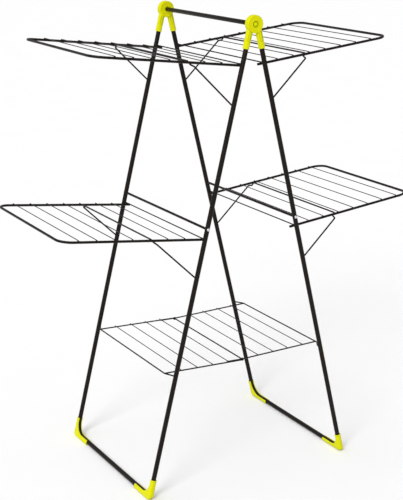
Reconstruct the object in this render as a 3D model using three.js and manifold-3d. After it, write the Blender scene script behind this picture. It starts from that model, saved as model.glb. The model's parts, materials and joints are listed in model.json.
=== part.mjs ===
// Folding tower airer: two hinged U frames in an A, four drying wings on struts, and a folding shelf.
// Millimetres, +Z up. X runs along the carrying handle, frame A stands on the -Y side and frame B on
// the +Y side. The origin is on the floor under the middle of the handle.
import * as THREE from "three";
import { mergeVertices } from "three/addons/utils/BufferGeometryUtils.js";
import Module from "manifold-3d";

const wasm = await Module();
wasm.setup();

const GAP = 0.3; // clear space kept between touching pieces

// The A frame. A place on a frame is its distance down the leg from the hinge axis.
const HINGE_HEIGHT = 1467;
const LEG_ANGLE = THREE.MathUtils.degToRad(13.75); // of each leg from upright
const LEG_SPACING = 560; // between the centre lines of a frame's two legs
const LEG_OFFSET = 9.5; // from the hinge axis to a leg's centre line, so that folded legs lie side by side
const LEG_RADIUS = 7.5;
const LEG_TOP = 30;
const RAIL_HEIGHT = 9.4; // of the floor rail's centre line above the floor
const CORNER_RADIUS = 45;
const TUBE_WALL = 1;
const LEG_X = LEG_SPACING / 2;
const RAIL_DOWN =
  (HINGE_HEIGHT + LEG_OFFSET * Math.sin(LEG_ANGLE) - RAIL_HEIGHT) / Math.cos(LEG_ANGLE);

// The cross tube of each frame and its rivets.
const CROSS_DOWN = 632;
const CROSS_RADIUS = 4;
const RIVET = { shank: 2.4, head: 5, headHeight: 2.2, length: 17 };

// The hinges and the handle between them.
const HANDLE_RADIUS = 7;
const DISC_RADIUS = 27;
const DISC_HALF = 9.9; // thickness of each frame's half of a hinge disc
const DISC_EDGE = 2; // chamfer of the disc's outer edges
const SOCKET = { topRadius: 10.4, endRadius: 10.1, outward: 0.8, end: 78, top: 14 };
const PIN = { radius: 4, inner: 262, head: 6.2, headHeight: 2.9, recess: 10.2, recessDepth: 3.6 };
const DISC_INNER_X = LEG_X - GAP / 2 - DISC_HALF;
const DISC_OUTER_X = LEG_X + GAP / 2 + DISC_HALF;

// The feet: channels over the bottom corners, open towards the inside of the bend.
const FOOT = { up: 56, along: 95, side: 9.4, halfWidth: 9.4, inside: 5.5, corner: 14 };

// The wings: a bent tube, with rods and an axle laid on top. The axle's ends turn in the legs.
const WING_RADIUS = 4;
const WING_SPACING = 514; // between the centre lines of the two side bars
const WING_TILT = THREE.MathUtils.degToRad(6.63);
const WING_CORNER = 40;
const WING_TIP = 11; // of the side bars behind the axle
const WING_DROP = 5.4; // of the bars' centre lines below the axle's
const AXLE_RADIUS = 2;
const AXLE_END_X = LEG_X - 3.5;
const ROD_RADIUS = 1.4;
const ROD_PITCH = 59;
const ROD_COUNT = 7;
const ROD_HEIGHT = WING_RADIUS + GAP + ROD_RADIUS;
const LEVELS = [
  { name: "upper", pivotDown: 123.5, strutDown: 249, length: 483 },
  { name: "lower", pivotDown: 664.5, strutDown: 788, length: 468 },
];

// The struts: bent wire from the legs, outside the side bars, in under them and across below the rods.
const STRUT_RADIUS = 2.25;
const STRUT_ARM_X = 267;
const STRUT_HOOK_X = 249;
const STRUT_KNEE = { along: 157, above: -10.5 };
const STRUT_STEP = { along: 161, above: -7 };
const STRUT_BAR = { along: 169, above: ROD_HEIGHT - ROD_RADIUS - GAP - STRUT_RADIUS };

// The shelf: two wire halves that meet at a pivot rod in the middle, and fold upwards. The middle
// lies a little below the pivots in the legs, so that the open shelf holds the frames apart.
const SHELF_DOWN = 1106; // of the pivots down the legs
const SHELF_DROP = 8;
const SHELF_EDGE = 16; // of each edge wire beyond the pivots
const SHELF_WIRE = 2.25;
const SHELF_SIDE_X = 236; // of half A's side wires
const SHELF_INNER_X = 231; // of half B's side wires, which pass inside half A's
const SHELF_RAISE = 0.8; // of half B's side wires, so that its last rod rests on half A's
const SHELF_ROD_HEIGHT = SHELF_WIRE + ROD_RADIUS - GAP;
const SHELF_STOP_HEIGHT = SHELF_WIRE + ROD_RADIUS + 2 * GAP;
const SHELF_RODS = 4; // between each half's edge and the middle
const EYE = { outer: 5.6, bore: 2.6 };

const WIRE_HOLE = 0.4; // a hole's radius beyond that of the wire in it

const blackCoat = new THREE.MeshStandardMaterial({ color: 0x2b2422, roughness: 0.45, metalness: 0.3 });
const limePlastic = new THREE.MeshStandardMaterial({ color: 0xdee000, roughness: 0.4, metalness: 0 });
const zinc = new THREE.MeshStandardMaterial({ color: 0xc9cac8, roughness: 0.3, metalness: 1 });

// --- Shapes ---------------------------------------------------------------------------------------

// A route of straight stretches with round bends, which gives its own points in order when it is
// sampled evenly, so that straights take one step and bends take several.
class BentRoute extends THREE.Curve {
  constructor(corners, bendRadius, bendSteps) {
    super();
    this.points = [corners[0]];
    for (let i = 1; i < corners.length - 1; i++) {
      this.addBend(corners[i - 1], corners[i], corners[i + 1], bendRadius, bendSteps);
    }
    this.points.push(corners[corners.length - 1]);
  }

  addBend(before, corner, after, radius, steps) {
    const into = corner.clone().sub(before).normalize();
    const out = after.clone().sub(corner).normalize();
    const turn = into.angleTo(out);
    const start = corner.clone().addScaledVector(into, -radius * Math.tan(turn / 2));
    const inward = out.clone().sub(into).normalize();
    const centre = corner.clone().addScaledVector(inward, radius / Math.cos(turn / 2));
    const axis = into.clone().cross(out).normalize();
    for (let i = 0; i <= steps; i++) {
      const arm = start.clone().sub(centre).applyAxisAngle(axis, (turn * i) / steps);
      this.points.push(arm.add(centre));
    }
  }

  get steps() {
    return this.points.length - 1;
  }

  getPointAt(share) {
    return this.points[Math.round(share * this.steps)].clone();
  }

  getTangentAt(share) {
    const i = Math.round(share * this.steps);
    const tangent = new THREE.Vector3();
    if (i > 0) tangent.add(this.points[i].clone().sub(this.points[i - 1]).normalize());
    if (i < this.steps) tangent.add(this.points[i + 1].clone().sub(this.points[i]).normalize());
    return tangent.normalize();
  }
}

const at = (x, y, z) => new THREE.Vector3(x, y, z);

function circle(radius, sides) {
  const points = [];
  for (let i = 0; i < sides; i++) {
    const turn = (2 * Math.PI * i) / sides;
    points.push(new THREE.Vector2(radius * Math.cos(turn), radius * Math.sin(turn)));
  }
  return points;
}

// A wire, or a tube when it has a bore, along a route of corner points.
function alongRoute(corners, { radius, bore = 0, bend = 1, bendSteps = 5, sides = 12 }) {
  const section = new THREE.Shape(circle(radius, sides));
  if (bore > 0) section.holes.push(new THREE.Path(circle(bore, sides).reverse()));
  const route = new BentRoute(corners, bend, bendSteps);
  return new THREE.ExtrudeGeometry(section, { steps: route.steps, extrudePath: route });
}

// A cylinder along X between two places.
function alongX(radius, fromX, toX, sides = 16) {
  const geometry = new THREE.CylinderGeometry(radius, radius, Math.abs(toX - fromX), sides);
  return geometry.rotateZ(Math.PI / 2).translate((fromX + toX) / 2, 0, 0);
}

// A round piece along a leg, between two distances down it.
function uprightOnLeg(topRadius, endRadius, fromDown, toDown) {
  const geometry = new THREE.CylinderGeometry(topRadius, endRadius, toDown - fromDown, 16);
  return geometry.rotateX(Math.PI / 2).translate(LEG_X, LEG_OFFSET, -(fromDown + toDown) / 2);
}

// A round piece turned about the X axis, from points of (radius, x).
function turnedAboutX(profile, sides) {
  const points = profile.map(([radius, x]) => new THREE.Vector2(radius, x));
  return new THREE.LatheGeometry(points, sides).rotateZ(-Math.PI / 2);
}

// --- Joining and cutting --------------------------------------------------------------------------

function solid(geometry) {
  const bare = new THREE.BufferGeometry();
  bare.setAttribute("position", geometry.getAttribute("position"));
  bare.setIndex(geometry.index);
  const merged = mergeVertices(bare, 1e-3);
  const mesh = new wasm.Mesh({
    numProp: 3,
    vertProperties: new Float32Array(merged.attributes.position.array),
    triVerts: new Uint32Array(merged.index.array),
  });
  return new wasm.Manifold(mesh);
}

function geometryOf(body) {
  const mesh = body.getMesh();
  const geometry = new THREE.BufferGeometry();
  geometry.setAttribute("position", new THREE.BufferAttribute(mesh.vertProperties, 3));
  geometry.setIndex(new THREE.BufferAttribute(mesh.triVerts, 1));
  return geometry;
}

const join = (geometries) => geometries.map(solid).reduce((whole, piece) => whole.add(piece));
const cut = (body, geometries) => geometries.reduce((left, tool) => left.subtract(solid(tool)), body);

function mesh(name, geometry, material) {
  const made = new THREE.Mesh(geometry, material);
  made.name = name;
  return made;
}

// --- Sides and ends -------------------------------------------------------------------------------

const root = new THREE.Group();
const ENDS = [
  { name: "left", x: -1 },
  { name: "right", x: 1 },
];

// Each side is modelled on the +Y side. Side A's group is turned half way round to the -Y side.
function sideGroup(name, halfTurns) {
  const group = new THREE.Group();
  group.rotation.z = halfTurns * Math.PI;
  // A frame's own group: its legs hang straight down from the hinge axis, then tilt outwards.
  const frame = new THREE.Group();
  frame.position.z = HINGE_HEIGHT;
  frame.rotation.x = LEG_ANGLE;
  group.add(frame);
  root.add(group);
  return { name, group, frame, xSign: halfTurns === 0 ? 1 : -1 };
}

const sideA = sideGroup("a", 1);
const sideB = sideGroup("b", 0);

// The place of a point of the leg's centre line, in the side's group.
function legPoint(down) {
  const y = LEG_OFFSET * Math.cos(LEG_ANGLE) + down * Math.sin(LEG_ANGLE);
  const z = HINGE_HEIGHT + LEG_OFFSET * Math.sin(LEG_ANGLE) - down * Math.cos(LEG_ANGLE);
  return at(0, y, z);
}

// --- Frames ---------------------------------------------------------------------------------------

const frameRoute = [
  at(LEG_X, LEG_OFFSET, -LEG_TOP),
  at(LEG_X, LEG_OFFSET, -RAIL_DOWN),
  at(-LEG_X, LEG_OFFSET, -RAIL_DOWN),
  at(-LEG_X, LEG_OFFSET, -LEG_TOP),
];

// Holes in the inner walls of both legs, for wire ends that turn in them.
function wireHoles(down, wireRadius) {
  const holeEnd = LEG_X - LEG_RADIUS + 2 * TUBE_WALL;
  return ENDS.map(({ x }) =>
    alongX(wireRadius + WIRE_HOLE, x * (holeEnd - 8), x * holeEnd, 8).translate(0, LEG_OFFSET, -down),
  );
}

function frameTube() {
  const tube = solid(
    alongRoute(frameRoute, {
      radius: LEG_RADIUS,
      bore: LEG_RADIUS - TUBE_WALL,
      bend: CORNER_RADIUS,
      sides: 12,
    }),
  );
  const rivetHoles = ENDS.map(({ x }) =>
    alongX(RIVET.shank + WIRE_HOLE, x * (LEG_X - LEG_RADIUS - 1), x * (LEG_X + LEG_RADIUS + 1), 8)
      .translate(0, LEG_OFFSET, -CROSS_DOWN),
  );
  const pivotHoles = LEVELS.flatMap(({ pivotDown, strutDown }) => [
    ...wireHoles(pivotDown, AXLE_RADIUS),
    ...wireHoles(strutDown, STRUT_RADIUS),
  ]);
  return geometryOf(cut(tube, [...rivetHoles, ...pivotHoles, ...wireHoles(SHELF_DOWN, SHELF_WIRE)]));
}

function crossTube() {
  const endX = LEG_X - LEG_RADIUS - GAP;
  const route = [at(-endX, LEG_OFFSET, -CROSS_DOWN), at(endX, LEG_OFFSET, -CROSS_DOWN)];
  return alongRoute(route, { radius: CROSS_RADIUS, bore: CROSS_RADIUS - TUBE_WALL, sides: 12 });
}

// A rivet through a leg into the cross tube's end, with its domed head outside.
function rivet() {
  const seat = LEG_X + LEG_RADIUS + GAP;
  const profile = [
    [0, seat - RIVET.length],
    [RIVET.shank, seat - RIVET.length],
    [RIVET.shank, seat],
    [RIVET.head, seat],
    [0.92 * RIVET.head, seat + 0.5 * RIVET.headHeight],
    [0.55 * RIVET.head, seat + RIVET.headHeight],
    [0, seat + RIVET.headHeight],
  ];
  return turnedAboutX(profile, 10).translate(0, LEG_OFFSET, -CROSS_DOWN);
}

// A channel round a bottom corner. Its outline is drawn in the frame's plane, then cut off level.
function foot() {
  const outerX = LEG_X + FOOT.side;
  const innerX = LEG_X - FOOT.inside;
  const railEndX = LEG_X - FOOT.along;
  const bottom = -RAIL_DOWN - 2 * FOOT.side;
  const top = -RAIL_DOWN + FOOT.up;
  const innerZ = -RAIL_DOWN + FOOT.inside;
  const innerBend = CORNER_RADIUS - FOOT.inside;
  const outline = new THREE.Shape();
  outline.moveTo(railEndX, bottom);
  outline.lineTo(outerX - FOOT.corner, bottom);
  outline.absarc(outerX - FOOT.corner, bottom + FOOT.side + FOOT.corner, FOOT.corner, -0.5, 0, false);
  outline.lineTo(outerX, top);
  outline.lineTo(innerX, top);
  outline.absarc(innerX - innerBend, innerZ + innerBend, innerBend, 0, -Math.PI / 2, true);
  outline.lineTo(railEndX, innerZ);
  const depth = 2 * FOOT.halfWidth;
  const block = new THREE.ExtrudeGeometry(outline, { depth, bevelEnabled: false, curveSegments: 6 });
  block.translate(0, 0, -FOOT.halfWidth).rotateX(Math.PI / 2).translate(0, LEG_OFFSET, 0);
  const radius = LEG_RADIUS + GAP;
  const channel = alongRoute(frameRoute, { radius, bend: CORNER_RADIUS, sides: 12 });
  return geometryOf(cut(solid(block), [channel, floorBlock()]));
}

// The ground under a foot, as it lies in the frame's own tilted group.
function floorBlock() {
  const thick = 4 * FOOT.side;
  const floor = new THREE.BoxGeometry(4 * FOOT.along, 20 * FOOT.halfWidth, thick);
  floor.translate(LEG_X, RAIL_DOWN * Math.sin(LEG_ANGLE), -HINGE_HEIGHT - thick / 2);
  return floor.rotateX(-LEG_ANGLE);
}

// --- Hinges ---------------------------------------------------------------------------------------

// One frame's half of a hinge disc, with the tapered socket that takes the top of its leg, thicker on
// its outer side. The other frame's half turns in the space cut from the socket. The pin's head lies
// in a round recess of the outer half.
function hingeHalf(outerHalf) {
  const towardsFace = outerHalf ? 1 : -1;
  const middle = LEG_X + (towardsFace * GAP) / 2;
  const face = middle + towardsFace * DISC_HALF;
  const profile = [
    [0, middle],
    [DISC_RADIUS, middle],
    [DISC_RADIUS, face - towardsFace * DISC_EDGE],
    [DISC_RADIUS - DISC_EDGE, face],
    [0, face],
  ];
  const disc = turnedAboutX(outerHalf ? profile : profile.reverse(), 24);
  const socket = uprightOnLeg(SOCKET.topRadius, SOCKET.endRadius, SOCKET.top, SOCKET.end);
  socket.translate(0, SOCKET.outward, 0);
  const boreRadius = LEG_RADIUS + GAP;
  const legBore = uprightOnLeg(boreRadius, boreRadius, LEG_TOP - GAP, SOCKET.end + 1);
  const otherHalf = alongX(DISC_RADIUS + GAP, middle, LEG_X - 2 * towardsFace * DISC_HALF, 24);
  const pinBore = alongX(PIN.radius + GAP, LEG_X - 2 * DISC_HALF, LEG_X + 2 * DISC_HALF);
  const stem = cut(solid(socket), [otherHalf]);
  const recess = alongX(PIN.recess, face - towardsFace * PIN.recessDepth, face + towardsFace, 24);
  const holes = outerHalf ? [legBore, pinBore, recess] : [legBore, pinBore];
  return geometryOf(cut(stem.add(solid(disc)), holes));
}

// The pin through both halves of a disc and into the handle, with its domed head in the recess.
function hingePin() {
  const seat = DISC_OUTER_X - PIN.recessDepth + GAP;
  const profile = [
    [0, PIN.inner],
    [PIN.radius, PIN.inner],
    [PIN.radius, seat],
    [PIN.head, seat],
    [PIN.head, seat + 0.5 * PIN.headHeight],
    [0.8 * PIN.head, seat + PIN.headHeight],
    [0, seat + PIN.headHeight],
  ];
  return turnedAboutX(profile, 16);
}

function handle() {
  const endX = DISC_INNER_X - GAP;
  const route = [at(-endX, 0, HINGE_HEIGHT), at(endX, 0, HINGE_HEIGHT)];
  return alongRoute(route, { radius: HANDLE_RADIUS, bore: HANDLE_RADIUS - TUBE_WALL, sides: 12 });
}

// --- Wings and struts -----------------------------------------------------------------------------

// A wing is drawn on its bars' centre lines, with Y outwards from the axle.
function wingFrame(length) {
  const x = WING_SPACING / 2;
  const bar = alongRoute(
    [at(x, -WING_TIP, 0), at(x, length, 0), at(-x, length, 0), at(-x, -WING_TIP, 0)],
    { radius: WING_RADIUS, bore: WING_RADIUS - TUBE_WALL, bend: WING_CORNER, bendSteps: 4, sides: 10 },
  );
  const axle = alongX(AXLE_RADIUS, -AXLE_END_X, AXLE_END_X, 8).translate(0, 0, WING_DROP);
  return geometryOf(join([bar, axle]));
}

function wingRod() {
  const endX = WING_SPACING / 2 + WING_RADIUS;
  return alongX(ROD_RADIUS, -endX, endX, 8);
}

// A strut's route: a wire end in each leg, an arm outside each side bar, and the bar across.
function strut(level, wing) {
  wing.updateMatrix();
  const onWing = (x, { along, above }) => at(x, along, above).applyMatrix4(wing.matrix);
  const pivot = legPoint(level.strutDown);
  const half = (x) => [
    at(x * AXLE_END_X, pivot.y, pivot.z),
    at(x * STRUT_ARM_X, pivot.y, pivot.z),
    onWing(x * STRUT_ARM_X, STRUT_KNEE),
    onWing(x * STRUT_HOOK_X, STRUT_STEP),
    onWing(x * STRUT_HOOK_X, STRUT_BAR),
  ];
  const route = [...half(1), ...half(-1).reverse()];
  return alongRoute(route, { radius: STRUT_RADIUS, bend: 3, bendSteps: 1, sides: 8 });
}

function addWing(side, level) {
  const name = `${level.name}_wing_${side.name}`;
  const wing = new THREE.Group();
  wing.position.copy(legPoint(level.pivotDown));
  wing.rotation.x = WING_TILT;
  wing.translateZ(-WING_DROP);
  wing.add(mesh(name, wingFrame(level.length), blackCoat));
  for (let i = 1; i <= ROD_COUNT; i++) {
    const rod = mesh(`${name}_rod_${i}`, wingRod(), blackCoat);
    rod.position.set(0, i * ROD_PITCH, ROD_HEIGHT);
    wing.add(rod);
  }
  side.group.add(wing);
  side.group.add(mesh(`${level.name}_strut_${side.name}`, strut(level, wing), blackCoat));
}

// --- Shelf ----------------------------------------------------------------------------------------

// Both halves are drawn flat, with the pivot rod's axis along X at the origin and their edge on the
// +Y side, then tilted up to the pivots in the legs.
const shelfPivot = legPoint(SHELF_DOWN);
const shelfReach = Math.hypot(shelfPivot.y, SHELF_DROP);
const shelfTilt = Math.atan2(SHELF_DROP, shelfPivot.y);
const shelfEdgeY = shelfReach + SHELF_EDGE;
const shelfPitch = shelfEdgeY / (SHELF_RODS + 1);
const shelfHeight = shelfPivot.z - SHELF_DROP;

// The edge wire of a half, bent at its ends back to the pivots in the legs.
function shelfEdge(endX) {
  const half = (x) => [
    at(x * endX, shelfReach, 0),
    at(x * (endX - 8), shelfReach, 0),
    at(x * SHELF_SIDE_X, shelfEdgeY, 0),
  ];
  const route = [...half(1), ...half(-1).reverse()];
  return alongRoute(route, { radius: SHELF_WIRE, bend: 6, bendSteps: 2, sides: 8 });
}

function shelfSideWires(x, fromY, toY, z) {
  return ENDS.map((end) => {
    const route = [at(end.x * x, fromY, z), at(end.x * x, toY, z)];
    return alongRoute(route, { radius: SHELF_WIRE, sides: 8 });
  });
}

const shelfRod = (radius, endX, y, z) => alongX(radius, -endX, endX, 8).translate(0, y, z);

// Half A holds the pivot rod, and leaves the rod next to it to half B.
function shelfHalfA() {
  const endX = SHELF_SIDE_X + SHELF_WIRE;
  const sides = shelfSideWires(SHELF_SIDE_X, shelfEdgeY, 0, 0);
  const rods = [2, 3, 4].map((i) => shelfRod(ROD_RADIUS, endX, i * shelfPitch, SHELF_ROD_HEIGHT));
  const pivotRod = shelfRod(SHELF_WIRE, endX, 0, 0);
  return geometryOf(join([shelfEdge(AXLE_END_X), ...sides, ...rods, pivotRod]));
}

// Half B turns on the pivot rod by an eye in each side wire. Its side wires go on past the middle,
// bent to lie along half A, and end in a rod that rests on half A's side wires.
function shelfHalfB() {
  const endX = SHELF_INNER_X + SHELF_WIRE;
  const sides = shelfSideWires(SHELF_INNER_X, shelfEdgeY, 0, SHELF_RAISE);
  const rods = [1, 2, 3, 4].map((i) =>
    shelfRod(ROD_RADIUS, endX, i * shelfPitch, SHELF_RAISE + SHELF_ROD_HEIGHT),
  );
  const pastMiddle = shelfSideWires(SHELF_INNER_X, 0, -shelfPitch, SHELF_RAISE);
  pastMiddle.push(shelfRod(ROD_RADIUS, SHELF_SIDE_X + SHELF_WIRE, -shelfPitch, SHELF_STOP_HEIGHT));
  for (const piece of pastMiddle) piece.rotateX(-2 * shelfTilt);
  const eyes = ENDS.map(({ x }) =>
    alongX(EYE.outer, x * (SHELF_INNER_X - SHELF_WIRE), x * (SHELF_INNER_X + SHELF_WIRE)),
  );
  const eyeBore = alongX(EYE.bore, -SHELF_SIDE_X, SHELF_SIDE_X);
  const edge = shelfEdge(LEG_X - LEG_RADIUS - 2 * GAP);
  return geometryOf(cut(join([edge, ...sides, ...rods, ...pastMiddle, ...eyes]), [eyeBore]));
}

function addShelfHalf(side, geometry) {
  const half = mesh(`shelf_half_${side.name}`, geometry, blackCoat);
  half.position.z = shelfHeight;
  half.rotation.x = shelfTilt;
  side.group.add(half);
}

// --- Assembly -------------------------------------------------------------------------------------

// A piece made for the +X end, turned over in place for the -X end.
function addAtEnd(side, end, name, geometry, material) {
  const piece = mesh(name, geometry, material);
  const mirrored = end.x * side.xSign < 0;
  if (mirrored) piece.scale.x = -1;
  side.frame.add(piece);
}

for (const side of [sideA, sideB]) {
  side.frame.add(mesh(`frame_${side.name}_tube`, frameTube(), blackCoat));
  side.frame.add(mesh(`cross_tube_${side.name}`, crossTube(), blackCoat));
  for (const end of ENDS) {
    addAtEnd(side, end, `rivet_${side.name}_${end.name}`, rivet(), zinc);
    addAtEnd(side, end, `foot_${side.name}_${end.name}`, foot(), limePlastic);
    addAtEnd(side, end, `hinge_${side.name}_${end.name}`, hingeHalf(side === sideB), limePlastic);
  }
  for (const level of LEVELS) addWing(side, level);
}

for (const end of ENDS) {
  const pin = mesh(`hinge_pin_${end.name}`, hingePin(), limePlastic);
  pin.position.z = HINGE_HEIGHT;
  pin.scale.x = end.x;
  root.add(pin);
}

root.add(mesh("handle", handle(), blackCoat));

addShelfHalf(sideA, shelfHalfA());
addShelfHalf(sideB, shelfHalfB());

export default root;
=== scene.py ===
"""Looks of a folding tower airer: smooth coated tubes and wires, moulded plastic and bright rivets.

Each piece stands for one CAD node and rides on its body. Shapes are drawn in millimetres, in the same
local frames as the CAD part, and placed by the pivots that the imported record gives.
"""

import json
import math

import bmesh
import bpy
import numpy as np
from mathutils import Matrix, Quaternion, Vector


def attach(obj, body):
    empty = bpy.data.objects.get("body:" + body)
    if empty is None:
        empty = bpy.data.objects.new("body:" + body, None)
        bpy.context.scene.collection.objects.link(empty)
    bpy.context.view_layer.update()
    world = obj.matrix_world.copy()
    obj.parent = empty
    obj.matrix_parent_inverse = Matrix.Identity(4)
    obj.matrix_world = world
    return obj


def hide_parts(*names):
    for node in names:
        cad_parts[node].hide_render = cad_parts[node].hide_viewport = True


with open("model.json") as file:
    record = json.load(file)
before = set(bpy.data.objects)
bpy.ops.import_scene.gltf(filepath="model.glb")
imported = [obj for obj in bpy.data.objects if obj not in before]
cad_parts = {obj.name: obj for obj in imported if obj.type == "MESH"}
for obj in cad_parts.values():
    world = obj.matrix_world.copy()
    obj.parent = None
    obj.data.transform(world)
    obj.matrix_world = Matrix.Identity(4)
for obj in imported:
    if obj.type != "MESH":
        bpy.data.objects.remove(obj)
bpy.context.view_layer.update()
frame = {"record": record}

MM = 0.001
ENDS = {"left": -1, "right": 1}
TURN = {"a": math.pi, "b": 0.0}  # side A is side B turned half way round

# Frames, in millimetres. Distances down a leg are from the level of the hinges' axis.
TUBE_WALL = 1.0
LEG_ANGLE = math.radians(13.75)
LEG_X = 280.0  # of the legs, from the middle of the rack
LEG_OFFSET = 9.5  # of a leg's centre line from the hinges' axis
LEG_RADIUS = 7.5
LEG_TOP = 30.0
LEG_BORE_DEPTH = 12.0
RAIL_HEIGHT = 9.4  # of the floor rail's centre line above the floor
CORNER_RADIUS = 45.0
CROSS_DOWN = 632.0
CROSS_RADIUS = 4.0
CROSS_SEAT = 0.5  # how far the cross tube goes into a leg's wall
RIVET = {"shank": 2.4, "shank_length": 14.0, "sunk": 0.9}
WASHER = {"radius": 5.0, "height": 1.5}
DOME = {"radius": 4.1, "height": 1.5}

# Hinges, pins and handle.
DISC_RADIUS = 27.0
DISC_MIDDLE_GAP = 0.15  # half of the gap between a disc's two halves
DISC_FACE = 10.05  # of a disc's outside face from the middle of the leg
DISC_EDGE = 2.6
DISC_INNER_EDGE = 0.5
DISC_CLEARANCE = 0.4
DISH = {"middle": 16.6, "half_width": 4.4, "depth": 0.45, "edge": 0.7}
SOCKET = {"top": 14.0, "end": 78.0, "top_radius": 10.4, "end_radius": 10.1, "outward": 0.8, "edge": 1.2}
BEAD = {"height": 0.3, "inset": 2.2, "width": 1.3}
SLOT = {"top": 24.0, "bottom": 57.0, "half_width": 5.2, "floor_radius": 8.5, "edge": 0.25}
STEM_FILLET = 1.8
CUT_EDGE = 0.4
LEG_FIT = 0.05  # between a leg and the plastic round it
PIN_RADIUS = 4.0
PIN_CLEARANCE = 0.2
PIN_INNER_X = 262.0
PIN_HEAD = {"radius": 6.2, "bevel": 0.1, "side": 1.0, "dome": 2.2, "seat_gap": 0.1}
PIN_RECESS = {"radius": 10.2, "depth": 3.6, "edge": 0.35}
HANDLE_RADIUS = 7.0
HANDLE_END_X = 269.6

# Feet.
FOOT_UP = 56.0
FOOT_ALONG = 95.0
FOOT_SIDE = 9.4
FOOT_LIP = 5.5  # of the channel's lips behind the tube's centre line
FOOT_CORNER = 14.0
FOOT_SOLE_ROUND = 6.5
FOOT_LEG_ROUND = 7.5
FOOT_RIM = 0.8
FOOT_COLLAR = {"length": 4.2, "flare": 0.35}
FOOT_GROOVE = {"length": 1.4, "flare": -0.35, "slope": 0.3}

# Wings and struts.
WING_RADIUS = 4.0
WING_X = 257.0
WING_TILT = math.radians(6.63)
WING_CORNER = 40.0
WING_TIP = 11.0
WING_BORE_DEPTH = 9.0
WING_DROP = 5.4  # of the bars' centre lines below the axle's
WING_LENGTH = {"upper": 483.0, "lower": 468.0}
WING_RODS = 7
AXLE_RADIUS = 2.0
CRIMP = {"from_bar": 2.2, "half_length": 1.6, "flat_half_length": 0.9, "wider": 0.75, "thinner": 0.45}
WIRE_END_X = 276.5  # where axles and wires end, inside the legs
ROD_RADIUS = 1.4
ROD_PITCH = 59.0
ROD_HEIGHT = 5.7  # of the rods' centre lines above the bars'
ROD_SEAT = 0.75 * ROD_RADIUS  # of a rod's pressed end above the bar that it is welded to
ROD_BEND = 14.0
ROD_PAST_BAR = 3.6
PRESS_LENGTH = 9.0
# A rod's pressed end: distance from its tip, then its width and its thickness in rod radii.
PRESSED_END = [(0.0, 0.55, 0.4), (0.25, 0.95, 0.65), (0.9, 1.3, 0.8), (PRESS_LENGTH - 2.5, 1.25, 0.8)]
STRUT_RADIUS = 2.6
STRUT_ARM_X = 267.0  # outside a wing's side bars
STRUT_HOOK_X = 249.0  # inside them
STRUT_KNEE = {"along": 157.0, "above": -10.5}
STRUT_STEP = {"along": 161.0, "above": -7.0}
STRUT_BAR_ALONG = 169.0
STRUT_BEND = 4.2
STRUT_GAP = 0.3  # between a strut's bar and the rods above it

# Shelf.
SHELF_WIRE = 2.25
SHELF_SIDE_X = 236.0
SHELF_INNER_X = 231.0  # of half B's side wires, which lie beside half A's
SHELF_EDGE = 16.0  # of the edge wire from the pivots in the legs
SHELF_END = 8.0
SHELF_BEND = 7.0
SHELF_END_GAP = 0.6
SHELF_PITCHES = 5
SHELF_RAISE = 0.8  # of half B's wires above half A's
SHELF_ROD_HEIGHT = 3.35
SHELF_ROD_PAST_SIDE = 2.2
SHELF_STOP_HEIGHT = 4.25
EYE = {"radius": 4.1, "thickness": 1.45, "half_width": 2.2, "side_wire_from": 4.5}


# --- Routes and swept shapes ----------------------------------------------------------------------


class Route:
    """A line of straights and round bends through corner points."""

    def __init__(self, corners, bend=0.0, steps=10):
        corners = [Vector(c) for c in corners]
        self.knots = [(corners[0], (corners[1] - corners[0]).normalized())]
        for before, corner, after in zip(corners, corners[1:], corners[2:]):
            self.add_bend(before, corner, after, bend, steps)
        self.knots.append((corners[-1], (corners[-1] - corners[-2]).normalized()))
        self.distances = [0.0]
        for (a, _), (b, _) in zip(self.knots, self.knots[1:]):
            self.distances.append(self.distances[-1] + (b - a).length)
        self.sides = self.carried_sides()

    def add_bend(self, before, corner, after, radius, steps):
        into = (corner - before).normalized()
        out = (after - corner).normalized()
        turn = into.angle(out)
        start = corner - into * radius * math.tan(turn / 2)
        centre = corner + (out - into).normalized() * radius / math.cos(turn / 2)
        axis = into.cross(out).normalized()
        for i in range(steps + 1):
            turned = Quaternion(axis, turn * i / steps)
            self.knots.append((centre + turned @ (start - centre), turned @ into))

    def carried_sides(self):
        """A direction across the line at each knot, carried along it without twist."""
        tangent = self.knots[0][1]
        side = tangent.orthogonal().normalized()
        if abs(tangent.y) < 0.5:
            side = (Vector((0, 1, 0)) - tangent * tangent.y).normalized()
        sides = [side]
        for (_, before), (_, after) in zip(self.knots, self.knots[1:]):
            sides.append(before.rotation_difference(after) @ sides[-1])
        return sides

    @property
    def length(self):
        return self.distances[-1]

    def at(self, distance):
        """Point, side direction and tangent at a distance along the line."""
        last = len(self.knots) - 2
        i = next((k for k in range(last + 1) if distance <= self.distances[k + 1]), last)
        span = self.distances[i + 1] - self.distances[i]
        share = (distance - self.distances[i]) / span
        point = self.knots[i][0].lerp(self.knots[i + 1][0], share)
        tangent = self.knots[i][1].lerp(self.knots[i + 1][1], share).normalized()
        side = self.sides[i].lerp(self.sides[i + 1], share)
        return point, (side - tangent * side.dot(tangent)).normalized(), tangent


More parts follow.
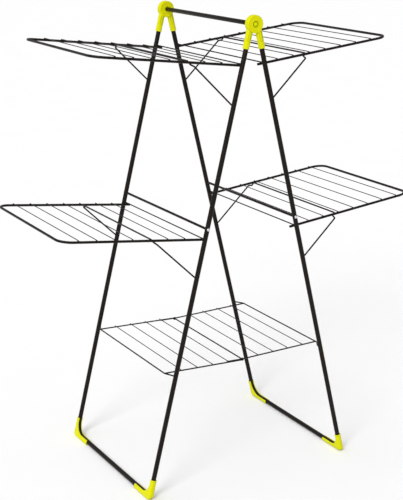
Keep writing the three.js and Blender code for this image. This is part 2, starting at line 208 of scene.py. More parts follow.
class Shape:
    """Closed surfaces that are gathered in millimetres and made into one mesh in metres."""

    def __init__(self):
        self.points = []
        self.faces = []

    def loft(self, rings):
        """Joins rings of equally many points, and closes the first and the last."""
        first = len(self.points)
        count = len(rings[0])
        for ring in rings:
            self.points.extend(ring)
        for i in range(len(rings) - 1):
            low = first + i * count
            for j in range(count):
                k = (j + 1) % count
                self.faces.append((low + j, low + k, low + count + k, low + count + j))
        last = first + (len(rings) - 1) * count
        self.faces.append(tuple(first + j for j in reversed(range(count))))
        self.faces.append(tuple(last + j for j in range(count)))

    def sweep(self, route, profile, sides):
        """An oval section along a route. The profile lists (distance, radius across, radius up)."""
        rings = []
        for distance, across, up in profile:
            point, side, tangent = route.at(distance)
            other = tangent.cross(side)
            ring = []
            for j in range(sides):
                angle = 2 * math.pi * j / sides
                ring.append(point + side * (up * math.cos(angle)) + other * (across * math.sin(angle)))
            rings.append(ring)
        self.loft(rings)

    def turned(self, profile, sides=48):
        """A piece turned about the X axis. The profile lists (radius, x)."""
        rings = []
        for radius, x in profile:
            angles = [2 * math.pi * j / sides for j in range(sides)]
            rings.append([Vector((x, radius * math.cos(a), radius * math.sin(a))) for a in angles])
        self.loft(rings)

    def moved(self, matrix):
        self.points = [matrix @ p for p in self.points]
        return self

    def add(self, other):
        first = len(self.points)
        self.points.extend(other.points)
        self.faces.extend(tuple(first + i for i in face) for face in other.faces)

    def mesh(self, name):
        made = bpy.data.meshes.new(name)
        made.from_pydata([p * MM for p in self.points], [], self.faces)
        face_outwards(made)
        return made


def face_outwards(mesh):
    """Merges points that coincide, and turns all faces outwards."""
    work = bmesh.new()
    work.from_mesh(mesh)
    bmesh.ops.remove_doubles(work, verts=work.verts, dist=1e-7)
    bmesh.ops.recalc_face_normals(work, faces=work.faces)
    work.to_mesh(mesh)
    work.free()


def quarter_turn(steps):
    """Evenly spaced angles from nought to a right angle."""
    return [math.pi / 2 * i / steps for i in range(steps + 1)]


def rounding(radius, edge):
    """(distance from the end, radius) of a round edge, from the end inwards."""
    made = []
    for angle in quarter_turn(4):
        made.append((edge * (1 - math.cos(angle)), radius - edge + edge * math.sin(angle)))
    return made


def wire_profile(route, radius, edge):
    """Even thickness with rounded ends."""
    ends = rounding(radius, edge)
    inner = [(d, radius, radius) for d in route.distances[1:-1]]
    first = [(d, r, r) for d, r in ends]
    last = [(route.length - d, r, r) for d, r in reversed(ends)]
    return first + inner + last


def tube_profile(route, radius, depth):
    """A tube whose open ends show its bore down to a depth."""
    bore = radius - TUBE_WALL
    edge = 0.4 * TUBE_WALL
    bevel = 0.3 * edge
    first = [(depth, bore, bore), (edge, bore, bore), (bevel, bore + bevel, bore + bevel)]
    first += [(d, r, r) for d, r in rounding(radius, edge)]
    middle = [(d, radius, radius) for d in route.distances[1:-1]]
    last = [(route.length - d, r, r) for d, r, _ in reversed(first)]
    return first + middle + last


def wire(corners, radius, bend=0.0, steps=8, sides=16, edge=None):
    """A bent wire through corner points. Its ends are rounded, by half its radius if no edge is given."""
    made = Shape()
    route = Route(corners, bend, steps)
    made.sweep(route, wire_profile(route, radius, edge or 0.5 * radius), sides)
    return made


# --- Placing --------------------------------------------------------------------------------------

behaviour = frame["record"]["behaviour"]
body_of_node = {node: body for body, nodes in behaviour["bodies"].items() for node in nodes}
joints = {joint["name"]: joint for joint in behaviour["joints"]}


def pivot(joint):
    """A joint's place, in millimetres."""
    return Vector(joints[joint]["pos_m"]) / MM


def side_frame(origin, side, tilt):
    """The frame at a point that faces outwards on one side and tilts about the X axis."""
    turned = Matrix.Rotation(TURN[side], 4, "Z") @ Matrix.Rotation(tilt, 4, "X")
    return Matrix.Translation(origin) @ turned


HINGE = pivot("frame_fold")
RAIL_DOWN = (HINGE.z + LEG_OFFSET * math.sin(LEG_ANGLE) - RAIL_HEIGHT) / math.cos(LEG_ANGLE)


def mirrored(side, end):
    """The mirroring that takes a piece drawn for the +X end of side B to an end of either side."""
    turned_round = -1 if side == "a" else 1
    return Matrix.Scale(ENDS[end] * turned_round, 4, (1, 0, 0))


def show(node, mesh, material, sharp_degrees=40):
    """Makes the piece that stands for a CAD node, from a mesh in metres."""
    for polygon in mesh.polygons:
        polygon.use_smooth = True
    mesh.set_sharp_from_angle(angle=math.radians(sharp_degrees))
    mesh.materials.append(material)
    piece = bpy.data.objects.new(f"{node}_shown", mesh)
    bpy.context.scene.collection.objects.link(piece)
    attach(piece, body_of_node[node])
    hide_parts(node)


def show_shape(node, shape, material):
    show(node, shape.mesh(f"{node}_shown"), material)


# --- Materials ------------------------------------------------------------------------------------


class Nodes:
    """A small helper that adds and links shader nodes."""

    def __init__(self, name):
        self.material = bpy.data.materials.new(name)
        self.material.use_nodes = True
        self.tree = self.material.node_tree
        self.shader = self.tree.nodes["Principled BSDF"]
        self.place = self.tree.nodes.new("ShaderNodeTexCoord").outputs["Object"]

    def noise(self, scale, detail=3.0, roughness=0.5, distortion=0.0):
        node = self.tree.nodes.new("ShaderNodeTexNoise")
        node.inputs["Scale"].default_value = scale
        node.inputs["Detail"].default_value = detail
        node.inputs["Roughness"].default_value = roughness
        node.inputs["Distortion"].default_value = distortion
        self.tree.links.new(self.place, node.inputs["Vector"])
        return node.outputs["Fac"]

    def ramp(self, factor, stops):
        """Maps a factor to a colour between two stops."""
        node = self.tree.nodes.new("ShaderNodeValToRGB")
        for element, (position, colour) in zip(node.color_ramp.elements, stops):
            element.position = position
            element.color = (*colour, 1)
        self.tree.links.new(factor, node.inputs["Fac"])
        return node.outputs["Color"]

    def spread(self, factor, low, high, start=0.3, end=0.7):
        """Maps a factor from start..end to low..high."""
        node = self.tree.nodes.new("ShaderNodeMapRange")
        values = {"From Min": start, "From Max": end, "To Min": low, "To Max": high}
        for socket, value in values.items():
            node.inputs[socket].default_value = value
        self.tree.links.new(factor, node.inputs["Value"])
        return node.outputs["Result"]

    def mix(self, factor, first, colour):
        """Blends a socket's colour towards a plain colour."""
        node = self.tree.nodes.new("ShaderNodeMix")
        node.data_type = "RGBA"
        self.tree.links.new(factor, node.inputs["Factor"])
        self.tree.links.new(first, node.inputs["A"])
        node.inputs["B"].default_value = (*colour, 1)
        return node.outputs["Result"]

    def bump(self, height, strength, distance, below=None):
        node = self.tree.nodes.new("ShaderNodeBump")
        node.inputs["Strength"].default_value = strength
        node.inputs["Distance"].default_value = distance
        self.tree.links.new(height, node.inputs["Height"])
        if below is not None:
            self.tree.links.new(below, node.inputs["Normal"])
        return node.outputs["Normal"]

    def painted_shade_mask(self, reach):
        """Mask for painted shade: 0 on open faces, rising to 1 deep in pockets and seams no wider than
        about twice reach.
        """
        deep, open_face = 0.3, 0.92
        node = self.tree.nodes.new("ShaderNodeAmbientOcclusion")
        node.samples = 16
        node.inputs["Distance"].default_value = reach
        return self.spread(node.outputs["AO"], 1.0, 0.0, deep, open_face)

    def feed(self, **sockets):
        for name, source in sockets.items():
            socket = self.shader.inputs[name.replace("_", " ")]
            if isinstance(source, bpy.types.NodeSocket):
                self.tree.links.new(source, socket)
            else:
                socket.default_value = source
        return self.material


def black_coat():
    """Satin powder coat, nearly black and a little brown, with orange peel and faint rub marks."""
    nodes = Nodes("black_coat")
    darker, lighter = (0.0068, 0.0044, 0.0031), (0.0115, 0.0076, 0.0055)
    rubbed = (0.030, 0.024, 0.019)
    drift = nodes.ramp(nodes.noise(14, detail=4), [(0.3, darker), (0.7, lighter)])
    patches = nodes.noise(70, detail=6, roughness=0.7, distortion=1.5)
    colour = nodes.mix(nodes.spread(patches, 0.0, 0.6, start=0.62, end=0.74), drift, rubbed)
    peel = nodes.bump(nodes.noise(900, detail=2), strength=0.35, distance=0.0002)
    grain = nodes.bump(nodes.noise(4200, detail=2), strength=0.18, distance=0.00006, below=peel)
    return nodes.feed(
        Base_Color=colour,
        Roughness=nodes.spread(nodes.noise(55, detail=5, roughness=0.6), 0.32, 0.44),
        Specular_IOR_Level=0.13,
        Normal=grain,
    )


def lime_plastic():
    """Moulded plastic with faint flow marks, a fine spark texture, paler worn edges, and painted shade
    that darkens its pockets and seams."""
    nodes = Nodes("lime_plastic")
    darker, lighter = (0.645, 0.645, 0.0), (0.715, 0.708, 0.0)
    worn = (0.80, 0.785, 0.01)
    painted_shade_colour = (0.30, 0.36, 0.0)
    flow = nodes.ramp(nodes.noise(22, distortion=0.8), [(0.25, darker), (0.75, lighter)])
    pointiness = nodes.tree.nodes.new("ShaderNodeNewGeometry").outputs["Pointiness"]
    colour = nodes.mix(nodes.spread(pointiness, 0.0, 0.35, start=0.53, end=0.62), flow, worn)
    # painted shade: ambient occlusion darkens the plastic's pockets and seams towards a deep green
    colour = nodes.mix(nodes.painted_shade_mask(reach=0.005), colour, painted_shade_colour)
    texture = nodes.bump(nodes.noise(1500, roughness=0.6), strength=0.22, distance=0.00012)
    return nodes.feed(
        Base_Color=colour,
        Roughness=nodes.spread(nodes.noise(160, detail=4), 0.36, 0.52),
        Specular_IOR_Level=0.09,
        Normal=texture,
    )


def zinc():
    """Plated steel with turned marks and a slightly uneven shine."""
    nodes = Nodes("zinc")
    darker, lighter = (0.56, 0.57, 0.58), (0.74, 0.75, 0.76)
    tone = nodes.ramp(nodes.noise(600, detail=4), [(0.3, darker), (0.7, lighter)])
    turning = nodes.noise(2600, detail=4, roughness=0.7)
    marks = nodes.bump(turning, strength=0.25, distance=0.00008)
    return nodes.feed(
        Base_Color=tone,
        Metallic=1.0,
        Roughness=nodes.spread(nodes.noise(900), 0.2, 0.4),
        Normal=marks,
    )


BLACK = black_coat()
LIME = lime_plastic()
ZINC = zinc()


# --- Frames ---------------------------------------------------------------------------------------


def frame_tube():
    """The bent tube of a frame: down one leg, along the floor and up the other leg."""
    corners = [
        (LEG_X, LEG_OFFSET, -LEG_TOP),
        (LEG_X, LEG_OFFSET, -RAIL_DOWN),
        (-LEG_X, LEG_OFFSET, -RAIL_DOWN),
        (-LEG_X, LEG_OFFSET, -LEG_TOP),
    ]
    made = Shape()
    route = Route(corners, CORNER_RADIUS, steps=16)
    made.sweep(route, tube_profile(route, LEG_RADIUS, LEG_BORE_DEPTH), sides=32)
    return made


def cross_tube():
    """A thin tube whose ends are seated in the legs' inner walls."""
    end = LEG_X - LEG_RADIUS + CROSS_SEAT
    line = [(-end, LEG_OFFSET, -CROSS_DOWN), (end, LEG_OFFSET, -CROSS_DOWN)]
    return wire(line, CROSS_RADIUS, sides=24, edge=0.3)


def rivet():
    """A domed rivet head on a thin washer, sunk a little into the leg's curve."""
    shank, washer, dome = RIVET["shank"], WASHER["radius"], DOME["radius"]
    seat = LEG_X + LEG_RADIUS - RIVET["sunk"]
    washer_top = seat + WASHER["height"]
    dome_foot = washer_top + 0.25
    profile = [
        (shank, seat - RIVET["shank_length"]),
        (shank, seat),
        (washer, seat),
        (washer, washer_top - 0.2),
        (washer - 0.1, washer_top),
        (dome + 0.2, washer_top + 0.1),
        (dome + 0.1, dome_foot),
    ]
    steps = 7
    for i in range(steps):
        angle = math.pi / 2 * (i + 0.4) / steps
        profile.append((dome * math.cos(angle), dome_foot + DOME["height"] * math.sin(angle)))
    made = Shape()
    made.turned(profile, sides=36)
    return made.moved(Matrix.Translation((0, LEG_OFFSET, -CROSS_DOWN)))


# --- Feet -----------------------------------------------------------------------------------------


def floor_depth(across):
    """How far below the rail's centre line the floor is, at a distance across the frame's plane."""
    level = (HINGE.z + (LEG_OFFSET + across) * math.sin(LEG_ANGLE)) / math.cos(LEG_ANGLE)
    return level - RAIL_DOWN


def outer_depth(point, outward, across, half_width):
    """Distance from the tube's centre line out to a foot's outer face, which turns the corner on a
    tighter bend than the tube."""
    right = LEG_X + half_width
    low = -RAIL_DOWN - floor_depth(across)
    to_right = (right - point.x) / outward.x if outward.x > 1e-6 else math.inf
    to_low = (low - point.z) / outward.z if outward.z < -1e-6 else math.inf
    reach = min(to_right, to_low)
    hit = point + outward * reach
    centre = Vector((right - FOOT_CORNER, hit.y, low + FOOT_CORNER))
    if hit.x > centre.x and hit.z < centre.z:
        start = point - centre
        start.y = 0
        half = start.dot(outward)
        inside = half * half - start.length_squared + FOOT_CORNER**2
        reach = -half + math.sqrt(max(inside, 0.0))
    return reach


def foot_outline(half_width, fillet):
    """Half of a foot's outer outline, from its lip to the middle of its outer face.

    Lists (outward, across, on_face). Outward counts from the outer face where on_face is true, and
    from the tube's centre line elsewhere."""
    lip_turn = math.asin(FOOT_LIP / half_width)
    outline = []
    lip_steps = 5
    for i in range(lip_steps + 1):
        angle = lip_turn * (1 - i / lip_steps)
        outline.append((-half_width * math.sin(angle), half_width * math.cos(angle), False))
    for angle in quarter_turn(6):
        inset = fillet * (1 - math.cos(angle))
        outline.append((-fillet * (1 - math.sin(angle)), half_width - inset, True))
    for share in (0.6, 0.2):
        outline.append((0.0, share * (half_width - fillet), True))
    return outline


def foot_section(route, distance, thinning, flare):
    """The channel's outline at one place, open towards the inside of the bend. Near an end the wall
    is thinned on both faces, which rounds its rim."""
    point, _, tangent = route.at(distance)
    across = Vector((0, 1, 0))
    outward = tangent.cross(across).normalized()
    to_corner = Vector((LEG_X - point.x, 0, -RAIL_DOWN - point.z))
    if outward.dot(to_corner) < -1e-3:
        outward.negate()
    half_width = FOOT_SIDE - thinning + flare
    fillet = FOOT_SOLE_ROUND + (FOOT_LEG_ROUND - FOOT_SOLE_ROUND) * max(outward.x, 0.0)
    outline = foot_outline(half_width, fillet)
    outline += [(out, -aside, on_face) for out, aside, on_face in reversed(outline)]
    ring = []
    for out, aside, on_face in outline:
        if on_face:
            out += outer_depth(point, outward, aside, half_width)
        ring.append(point + outward * out + across * aside)
    bore = LEG_RADIUS + LEG_FIT + thinning
    lip_turn = math.asin(FOOT_LIP / bore)
    steps = 18
    for i in range(steps + 1):
        angle = -math.pi / 2 - lip_turn + (math.pi + 2 * lip_turn) * i / steps
        ring.append(point + outward * (bore * math.cos(angle)) + across * (bore * math.sin(angle)))
    return ring


def foot_stations(route):
    """(distance, thinning, flare) down a foot: rims at its ends, and a collar and a groove on top."""
    collar, groove = FOOT_COLLAR["flare"], FOOT_GROOVE["flare"]
    slope = FOOT_GROOVE["slope"]
    groove_start = FOOT_COLLAR["length"]
    groove_end = groove_start + FOOT_GROOVE["length"]
    rim = [(FOOT_RIM * (1 - math.cos(a)), FOOT_RIM * (1 - math.sin(a))) for a in quarter_turn(3)]
    stations = [(distance, thinning, collar) for distance, thinning in rim]
    stations += [
        (groove_start, 0.0, collar),
        (groove_start + slope, 0.0, groove),
        (groove_end - slope, 0.0, groove),
        (groove_end, 0.0, 0.0),
    ]
    stations += [(distance, 0.0, 0.0) for distance in route.distances[1:-1]]
    stations += [(route.length - distance, thinning, 0.0) for distance, thinning in reversed(rim)]
    return stations


def foot():
    """A channel round a bottom corner, which the corner of the tube lies in."""
    corners = [
        (LEG_X, LEG_OFFSET, -RAIL_DOWN + FOOT_UP),
        (LEG_X, LEG_OFFSET, -RAIL_DOWN),
        (LEG_X - FOOT_ALONG, LEG_OFFSET, -RAIL_DOWN),
    ]
    route = Route(corners, CORNER_RADIUS, steps=22)
    made = Shape()
    made.loft([foot_section(route, *station) for station in foot_stations(route)])
    return made


def stand_on_floor(mesh):
    """Makes the sole level: nothing of it is under the floor."""
    for vertex in mesh.vertices:
        vertex.co.z = max(vertex.co.z, 0.0)


# --- Moulded bodies -------------------------------------------------------------------------------
# A moulded body is given as a field: for an array of points, the distance to its surface, negative
# inside. Fields are joined and cut with rounded edges, and then turned into a mesh.


def turned_field(points, centre_x, half_width, radius, edge):
    """A round-edged disc or cylinder about the X axis."""
    across = np.hypot(points[..., 1], points[..., 2]) - radius + edge
    along = np.abs(points[..., 0] - centre_x) - half_width + edge
    outside = np.hypot(np.maximum(across, 0), np.maximum(along, 0))
    return outside + np.minimum(np.maximum(across, along), 0) - edge


def leg_field(points, radius, top, bottom, edge):
    """A round-edged cylinder about the leg's centre line, between two distances down the leg."""
    turned = np.stack([-points[..., 2], points[..., 0] - LEG_X, points[..., 1] - LEG_OFFSET], -1)
    return turned_field(turned, (top + bottom) / 2, (bottom - top) / 2, radius, edge)


def joined(a, b, blend):
    """Two fields as one body, with a fillet where they meet."""
    near = np.maximum(blend - np.abs(a - b), 0) / blend
    return np.minimum(a, b) - near * near * blend / 4


def less(a, b, blend):
    """A body less another, with the edges of the cut rounded."""
    return -joined(-a, b, blend)


def surface_mesh(name, field, low, high, step):
    """A mesh of evenly sized quads over the surface of a field, inside a box."""
    axes = [np.arange(start, stop + step, step) for start, stop in zip(low, high)]
    values = field(np.stack(np.meshgrid(*axes, indexing="ij"), -1))
    inside = values < 0
    size = np.array(values.shape) - 1
    corners = [np.array((i, j, k)) for i in (0, 1) for j in (0, 1) for k in (0, 1)]
    shifted = [inside[tuple(slice(c, c + n) for c, n in zip(corner, size))] for corner in corners]
    mixed = np.any(shifted, axis=0) & ~np.all(shifted, axis=0)
    cells = np.argwhere(mixed)
    number = np.full(mixed.shape, -1)
    number[mixed] = np.arange(len(cells))
    places = np.array(low) + step * crossings(values, cells, corners)
    made = bpy.data.meshes.new(name)
    made.from_pydata(drawn_to_surface(places, field, step).tolist(), [], quads(inside, number))
    face_outwards(made)
    return made


def crossings(values, cells, corners):
    """The middle of the places where the surface crosses each cell's edges, in cells."""
    total = np.zeros(cells.shape)
    hits = np.zeros(len(cells))
    for a in corners:
        for b in (a + np.eye(3, dtype=int)).tolist():
            if max(b) > 1:
                continue
            value_a = values[tuple((cells + a).T)]
            value_b = values[tuple((cells + b).T)]
            crossed = (value_a < 0) != (value_b < 0)
            share = value_a[crossed] / (value_a[crossed] - value_b[crossed])
            total[crossed] += cells[crossed] + a + share[:, None] * (b - a)
            hits[crossed] += 1
    return total / hits[:, None]


def quads(inside, number):
    """For each grid edge that crosses the surface, a face between the four cells around it."""
    faces = []
    unit = np.eye(3, dtype=int)
    for axis in range(3):
        u, v = unit[(axis + 1) % 3], unit[(axis + 2) % 3]
        edges = np.argwhere(np.diff(inside, axis=axis))
        around = [number[tuple((edges - back).T)] for back in (0 * u, u, u + v, v)]
        faces += np.stack(around, -1).tolist()
    return faces


def drawn_to_surface(places, field, step):
    """Moves points onto the surface along the field's slope, by less than half a step."""
    start = places
    probe = 0.05 * step
    most = 0.45 * step
    for _ in range(3):
        slopes = [
            (field(places + probe * axis) - field(places - probe * axis)) / (2 * probe)
            for axis in np.eye(3)
        ]
        slope = np.stack(slopes, -1)
        steepness = np.maximum((slope**2).sum(-1), 0.25)
        places = places - slope * (field(places) / steepness)[:, None]
        places = start + np.clip(places - start, -most, most)
    return places


# --- Hinges ---------------------------------------------------------------------------------------


def socket_field(points):
    """The tapered round socket of a leg, thicker on its outer side, with a low bead round its end."""
    top, end = SOCKET["top"], SOCKET["end"]
    down = -points[..., 2]
    share = np.clip((down - top) / (end - top), 0, 1)
    bead = BEAD["height"] * np.exp(-(((down - end + BEAD["inset"]) / BEAD["width"]) ** 2))
    taper = (SOCKET["end_radius"] - BEAD["height"] - SOCKET["top_radius"]) * share + bead
    shifted = points - np.array((0, SOCKET["outward"], 0))
    return leg_field(shifted, SOCKET["top_radius"], top, end, SOCKET["edge"]) - taper


def slot_field(points):
    """The two long round-ended pockets in a socket's sides."""
    half, top, bottom = SLOT["half_width"], SLOT["top"], SLOT["bottom"]
    beyond = np.maximum(np.abs(points[..., 2] + (top + bottom) / 2) - (bottom - top) / 2 + half, 0)
    across = points[..., 1] - LEG_OFFSET - SOCKET["outward"]
    outline = np.hypot(across, beyond) - half
    return np.maximum(outline, SLOT["floor_radius"] - np.hypot(points[..., 0] - LEG_X, across))


def inner_face_x(towards):
    """X of the face that one half of a disc turns to the other half. towards is 1 for the outer half
    and -1 for the inner one."""
    return LEG_X + towards * DISC_MIDDLE_GAP


def disc_place(points, towards):
    """Distance from the hinge's axis, and height above the inner face of one half of the disc."""
    radius = np.hypot(points[..., 1], points[..., 2])
    return radius, towards * (points[..., 0] - inner_face_x(towards))


def disc_field(points, towards):
    """Half of a hinge disc at the +X end, with a shallow ring in its face and, in the outer half, a
    recess for the pin's head."""
    radius, height = disc_place(points, towards)
    thickness = DISC_FACE - DISC_MIDDLE_GAP
    disc = turned_field(points, inner_face_x(towards), thickness, DISC_RADIUS, DISC_EDGE)
    disc = less(disc, height, DISC_INNER_EDGE)
    ring = np.abs(radius - DISH["middle"]) - DISH["half_width"]
    disc = less(disc, np.maximum(ring, thickness - DISH["depth"] - height), DISH["edge"])
    if towards > 0:
        recess = np.maximum(radius - PIN_RECESS["radius"], thickness - PIN_RECESS["depth"] - height)
        disc = less(disc, recess, PIN_RECESS["edge"])
    return disc


def hinge_field(points, towards):
    """One frame's half of a hinge: its half of the disc and its leg socket, with their bores."""
    radius, height = disc_place(points, towards)
    stem = less(socket_field(points), slot_field(points), SLOT["edge"])
    body = joined(stem, disc_field(points, towards), STEM_FILLET)
    other_half = np.maximum(radius - DISC_RADIUS - DISC_CLEARANCE, height)
    body = less(body, other_half, CUT_EDGE)
    bore_top = LEG_TOP - 1  # just above the leg's open end
    bore_bottom = SOCKET["end"] + 10  # well past the socket's end
    leg_bore = leg_field(points, LEG_RADIUS + LEG_FIT, bore_top, bore_bottom, edge=0.1)
    pin_bore = radius - PIN_RADIUS - PIN_CLEARANCE
    return less(less(body, leg_bore, CUT_EDGE), pin_bore, CUT_EDGE)


def hinge_half(towards):
    """The mesh of one frame's half of a hinge, at the +X end, in millimetres."""
    step, margin = 0.5, 2
    low = (LEG_X - DISC_FACE - margin, -DISC_RADIUS - margin, -SOCKET["end"] - margin)
    high = (LEG_X + DISC_FACE + margin, DISC_RADIUS + margin, DISC_RADIUS + margin)
    return surface_mesh("hinge_half", lambda points: hinge_field(points, towards), low, high, step)


def hinge_pin():
    """The pin through both halves of a disc, with a domed head in the recess."""
    head, bevel = PIN_HEAD["radius"], PIN_HEAD["bevel"]
    seat = LEG_X + DISC_FACE - PIN_RECESS["depth"] + PIN_HEAD["seat_gap"]
    dome_foot = seat + PIN_HEAD["side"]
    profile = [(PIN_RADIUS, PIN_INNER_X), (PIN_RADIUS, seat), (head - bevel, seat), (head, seat + bevel)]
    for angle in quarter_turn(10)[:-1]:
        profile.append((head * math.cos(angle), dome_foot + PIN_HEAD["dome"] * math.sin(angle)))
    made = Shape()
    made.turned(profile)
    return made


def handle():
    """The tube between the two hinges, which the rack is carried by."""
    end = HANDLE_END_X
    return wire([(-end, 0, HINGE.z), (end, 0, HINGE.z)], HANDLE_RADIUS, sides=32, edge=0.5)


# --- Wings and struts -----------------------------------------------------------------------------


def wing_frame(level, side):
    """The frame on a wing's bars: their centre lines in its XY plane, with Y outwards from the axle."""
    at_axle = side_frame(pivot(f"{level}_wing_{side}_fold"), side, WING_TILT)
    return at_axle @ Matrix.Translation((0, 0, -WING_DROP))


def wing_tube(length):
    """The bent tube of a wing, and the axle that is welded on top of its side bars."""
    x = WING_X
    corners = [(x, -WING_TIP, 0), (x, length, 0), (-x, length, 0), (-x, -WING_TIP, 0)]
    route = Route(corners, WING_CORNER, steps=14)
    made = Shape()
    made.sweep(route, tube_profile(route, WING_RADIUS, WING_BORE_DEPTH), sides=22)
    made.add(axle())
    return made


def axle():
    """A thin rod that turns in the legs, with a flat crimp beside each of them."""
    line = Route([(-WIRE_END_X, 0, WING_DROP), (WIRE_END_X, 0, WING_DROP)])
    middle = WIRE_END_X - WING_X - WING_RADIUS - CRIMP["from_bar"]
    long, short = CRIMP["half_length"], CRIMP["flat_half_length"]
    wide, thin = AXLE_RADIUS + CRIMP["wider"], AXLE_RADIUS - CRIMP["thinner"]
    profile = [
        (0.0, AXLE_RADIUS, AXLE_RADIUS),
        (middle - long, AXLE_RADIUS, AXLE_RADIUS),
        (middle - short, wide, thin),
        (middle + short, wide, thin),
        (middle + long, AXLE_RADIUS, AXLE_RADIUS),
    ]
    profile += [(line.length - d, across, up) for d, across, up in reversed(profile)]
    made = Shape()
    made.sweep(line, profile, sides=18)
    return made


def laid_rod(end_x, y, rise, seat):
    """A thin rod laid across two bars, with its ends pressed flat where they are welded on.
    rise is the rod's height, and seat the height of its pressed ends."""
    radius = ROD_RADIUS
    line = [(-end_x, y, seat), (PRESS_LENGTH - end_x, y, seat), (2 * PRESS_LENGTH - end_x, y, rise)]
    line += [(-x, y, z) for x, y, z in reversed(line)]
    route = Route(line, ROD_BEND, steps=5)
    round_from = PRESS_LENGTH + 2
    round_to = route.length - round_from
    first = [(d, radius * width, radius * thickness) for d, width, thickness in PRESSED_END]
    middle = [(d, radius, radius) for d in route.distances if round_from < d < round_to]
    last = [(route.length - d, across, up) for d, across, up in reversed(first)]
    made = Shape()
    made.sweep(route, first + middle + last, sides=12)
    return made


def wing_rod(number):
    """A wing's rod, counted from the one beside the axle."""
    end_x = WING_X + ROD_PAST_BAR
    return laid_rod(end_x, number * ROD_PITCH, ROD_HEIGHT, WING_RADIUS + ROD_SEAT)


def strut(level, side):
    """Bent wire: an end in each leg, an arm outside each side bar, in under the bar, up inside it,
    and across below the rods."""
    wing = wing_frame(level, side)
    turned = Matrix.Rotation(TURN[side], 4, "Z")
    start = pivot(f"{level}_strut_{side}_swing")
    bar_height = ROD_HEIGHT - ROD_RADIUS - STRUT_GAP - STRUT_RADIUS
    under_wing = [
        (STRUT_ARM_X, STRUT_KNEE["along"], STRUT_KNEE["above"]),
        (STRUT_HOOK_X, STRUT_STEP["along"], STRUT_STEP["above"]),
        (STRUT_HOOK_X, STRUT_BAR_ALONG, bar_height),
    ]
    halves = []
    for sign in (1, -1):
        half = [start + turned @ Vector((sign * x, 0, 0)) for x in (WIRE_END_X, STRUT_ARM_X)]
        half += [wing @ Vector((sign * x, along, above)) for x, along, above in under_wing]
        halves.append(half)
    return wire(halves[0] + halves[1][::-1], STRUT_RADIUS, STRUT_BEND, steps=6)


# --- Shelf ----------------------------------------------------------------------------------------

middle_pivot = pivot("shelf_middle_fold")
leg_pivot = pivot("shelf_half_a_lift")
shelf_rise = leg_pivot.z - middle_pivot.z
shelf_reach = math.hypot(leg_pivot.y - middle_pivot.y, shelf_rise)
shelf_tilt = math.asin(shelf_rise / shelf_reach)
shelf_length = shelf_reach + SHELF_EDGE
shelf_pitch = shelf_length / SHELF_PITCHES


def shelf_edge(end_x):
    """The wire along a half's outer edge, whose ends turn in the legs."""
    half = [
        (end_x, shelf_reach, 0),
        (end_x - SHELF_END, shelf_reach, 0),
        (SHELF_SIDE_X, shelf_length, 0),
    ]
    corners = half + [(-x, y, z) for x, y, z in reversed(half)]
    return wire(corners, SHELF_WIRE, SHELF_BEND)


def shelf_sides(x, from_y, to_y, z):
    """Two straight wires along the shelf, one at each end."""
    made = Shape()
    for sign in (-1, 1):
        made.add(wire([(sign * x, from_y, z), (sign * x, to_y, z)], SHELF_WIRE))
    return made


def shelf_half_a():
    """Edge wire, side wires and three rods, with the pivot rod in the middle of the shelf."""
    made = shelf_edge(WIRE_END_X)
    made.add(shelf_sides(SHELF_SIDE_X, shelf_length, 0, 0))
    rod_end = SHELF_SIDE_X + SHELF_ROD_PAST_SIDE
    seat = SHELF_WIRE + ROD_SEAT
    for i in (2, 3, 4):
        made.add(laid_rod(rod_end, i * shelf_pitch, SHELF_ROD_HEIGHT, seat))
    end = SHELF_SIDE_X + SHELF_WIRE
    made.add(wire([(-end, 0, 0), (end, 0, 0)], SHELF_WIRE))
    return made


def eye(x):
    """A loop of wire round the pivot rod."""
    around, section = 32, 12
    loop = Shape()
    for i in range(around):
        turn = 2 * math.pi * i / around
        out = Vector((0, math.cos(turn), math.sin(turn)))
        for j in range(section):
            angle = 2 * math.pi * j / section
            reach = EYE["radius"] + EYE["thickness"] * math.cos(angle)
            loop.points.append(out * reach + Vector((x + EYE["half_width"] * math.sin(angle), 0, 0)))
    for i in range(around):
        low = i * section
        high = (i + 1) % around * section
        for j in range(section):
            k = (j + 1) % section
            loop.faces.append((low + j, low + k, high + k, high + j))
    return loop


def shelf_half_b():
    """Like half A, but its side wires turn on the pivot rod, and go on past it to a rod that rests on
    half A."""
    made = shelf_edge(LEG_X - LEG_RADIUS - SHELF_END_GAP)
    made.add(shelf_sides(SHELF_INNER_X, shelf_length, EYE["side_wire_from"], SHELF_RAISE))
    rod_end = SHELF_INNER_X + SHELF_ROD_PAST_SIDE
    height = SHELF_RAISE + SHELF_ROD_HEIGHT
    seat = SHELF_RAISE + SHELF_WIRE + ROD_SEAT
    for i in (1, 2, 3, 4):
        made.add(laid_rod(rod_end, i * shelf_pitch, height, seat))
    past = shelf_sides(SHELF_INNER_X, -EYE["side_wire_from"], -shelf_pitch, SHELF_RAISE)
    stop_end = SHELF_SIDE_X + SHELF_WIRE
    past.add(laid_rod(stop_end, -shelf_pitch, SHELF_STOP_HEIGHT, SHELF_STOP_HEIGHT))
    made.add(past.moved(Matrix.Rotation(-2 * shelf_tilt, 4, "X")))
    for sign in (-1, 1):
        made.add(eye(sign * SHELF_INNER_X))
    return made


# --- Assembly -------------------------------------------------------------------------------------


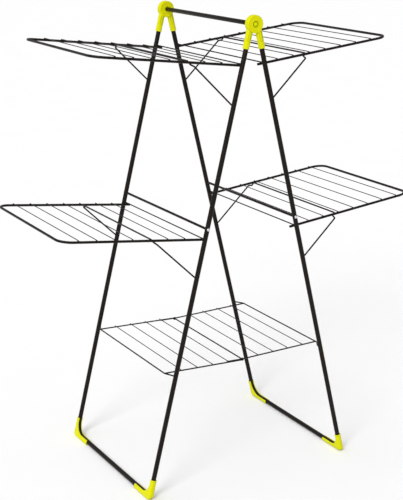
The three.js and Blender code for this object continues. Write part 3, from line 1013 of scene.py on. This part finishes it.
def show_frames():
    hinge_meshes = {"a": hinge_half(-1), "b": hinge_half(1)}
    for side in ("a", "b"):
        place = side_frame(HINGE, side, LEG_ANGLE)
        show_shape(f"frame_{side}_tube", frame_tube().moved(place), BLACK)
        show_shape(f"cross_tube_{side}", cross_tube().moved(place), BLACK)
        for end in ENDS:
            flip = place @ mirrored(side, end)
            show_shape(f"rivet_{side}_{end}", rivet().moved(flip), ZINC)
            foot_mesh = foot().moved(flip).mesh(f"foot_{side}_{end}_shown")
            stand_on_floor(foot_mesh)
            show(f"foot_{side}_{end}", foot_mesh, LIME)
            half = hinge_meshes[side].copy()
            half.transform(Matrix.Scale(MM, 4) @ flip)
            face_outwards(half)
            show(f"hinge_{side}_{end}", half, LIME, 60)
    for end, sign in ENDS.items():
        place = Matrix.Translation(HINGE) @ Matrix.Scale(sign, 4, (1, 0, 0))
        show_shape(f"hinge_pin_{end}", hinge_pin().moved(place), LIME)
    show_shape("handle", handle(), BLACK)


def show_wings():
    for level, length in WING_LENGTH.items():
        for side in ("a", "b"):
            name = f"{level}_wing_{side}"
            place = wing_frame(level, side)
            show_shape(name, wing_tube(length).moved(place), BLACK)
            for i in range(1, WING_RODS + 1):
                show_shape(f"{name}_rod_{i}", wing_rod(i).moved(place), BLACK)
            show_shape(f"{level}_strut_{side}", strut(level, side), BLACK)


def show_shelf():
    for side, half in (("a", shelf_half_a()), ("b", shelf_half_b())):
        place = side_frame(middle_pivot, side, shelf_tilt)
        show_shape(f"shelf_half_{side}", half.moved(place), BLACK)


# --- Floor, light and camera ----------------------------------------------------------------------


def floor():
    """A wide pale floor, as a stage that isn't part of the object."""
    mesh = bpy.data.meshes.new("floor")
    reach = 60.0
    corners = [(-reach, -reach, 0), (reach, -reach, 0), (reach, reach, 0), (-reach, reach, 0)]
    mesh.from_pydata(corners, [], [(0, 1, 2, 3)])
    made = bpy.data.objects.new("floor", mesh)
    bpy.context.scene.collection.objects.link(made)
    nodes = Nodes("pale_floor")
    darker, lighter = (0.965, 0.965, 0.965), (0.975, 0.975, 0.975)
    tone = nodes.ramp(nodes.noise(3, detail=2), [(0.3, darker), (0.7, lighter)])
    mesh.materials.append(nodes.feed(Base_Color=tone, Roughness=0.9, Specular_IOR_Level=0.1))


AZIMUTH = math.radians(60.46)  # of the camera, from -Y round towards +X
ELEVATION = math.radians(16.04)
CAMERA_PLACE = (3.4876, -1.9976, 1.853)
CAMERA_LENS = 90.43
TO_CAMERA = Vector((math.sin(AZIMUTH), -math.cos(AZIMUTH), 0))
LEFT = Vector((-math.cos(AZIMUTH), -math.sin(AZIMUTH), 0))
UP = Vector((0, 0, 1))


def camera():
    data = bpy.data.cameras.new("camera")
    data.sensor_width = 36.0
    data.lens = CAMERA_LENS
    data.clip_end = 200.0
    made = bpy.data.objects.new("camera", data)
    made.location = CAMERA_PLACE
    forward = -TO_CAMERA * math.cos(ELEVATION) - UP * math.sin(ELEVATION)
    made.rotation_mode = "QUATERNION"
    made.rotation_quaternion = forward.to_track_quat("-Z", "Y")
    bpy.context.scene.collection.objects.link(made)
    bpy.context.scene.camera = made


def sun(name, direction, angle_degrees, strength):
    """Light from a direction, the same all over the floor and soft by its wide angle."""
    data = bpy.data.lights.new(name, "SUN")
    data.angle = math.radians(angle_degrees)
    data.energy = strength
    made = bpy.data.objects.new(name, data)
    made.rotation_mode = "QUATERNION"
    made.rotation_quaternion = (-direction).to_track_quat("-Z", "Y")
    bpy.context.scene.collection.objects.link(made)


def lights():
    """A key sun beside the camera, a wide sun from above, and a plain white surrounding."""
    sun("key", TO_CAMERA + 0.42 * LEFT + 0.8 * UP, angle_degrees=22, strength=1.75)
    sun("top", 0.5 * LEFT + UP, angle_degrees=60, strength=0.8)
    world = bpy.data.worlds.new("studio")
    world.use_nodes = True
    background = world.node_tree.nodes["Background"]
    background.inputs["Color"].default_value = (1, 1, 1, 1)
    background.inputs["Strength"].default_value = 0.48
    bpy.context.scene.world = world
    bpy.context.scene.view_settings.view_transform = "Standard"


camera()
lights()
floor()
show_frames()
show_wings()
show_shelf()
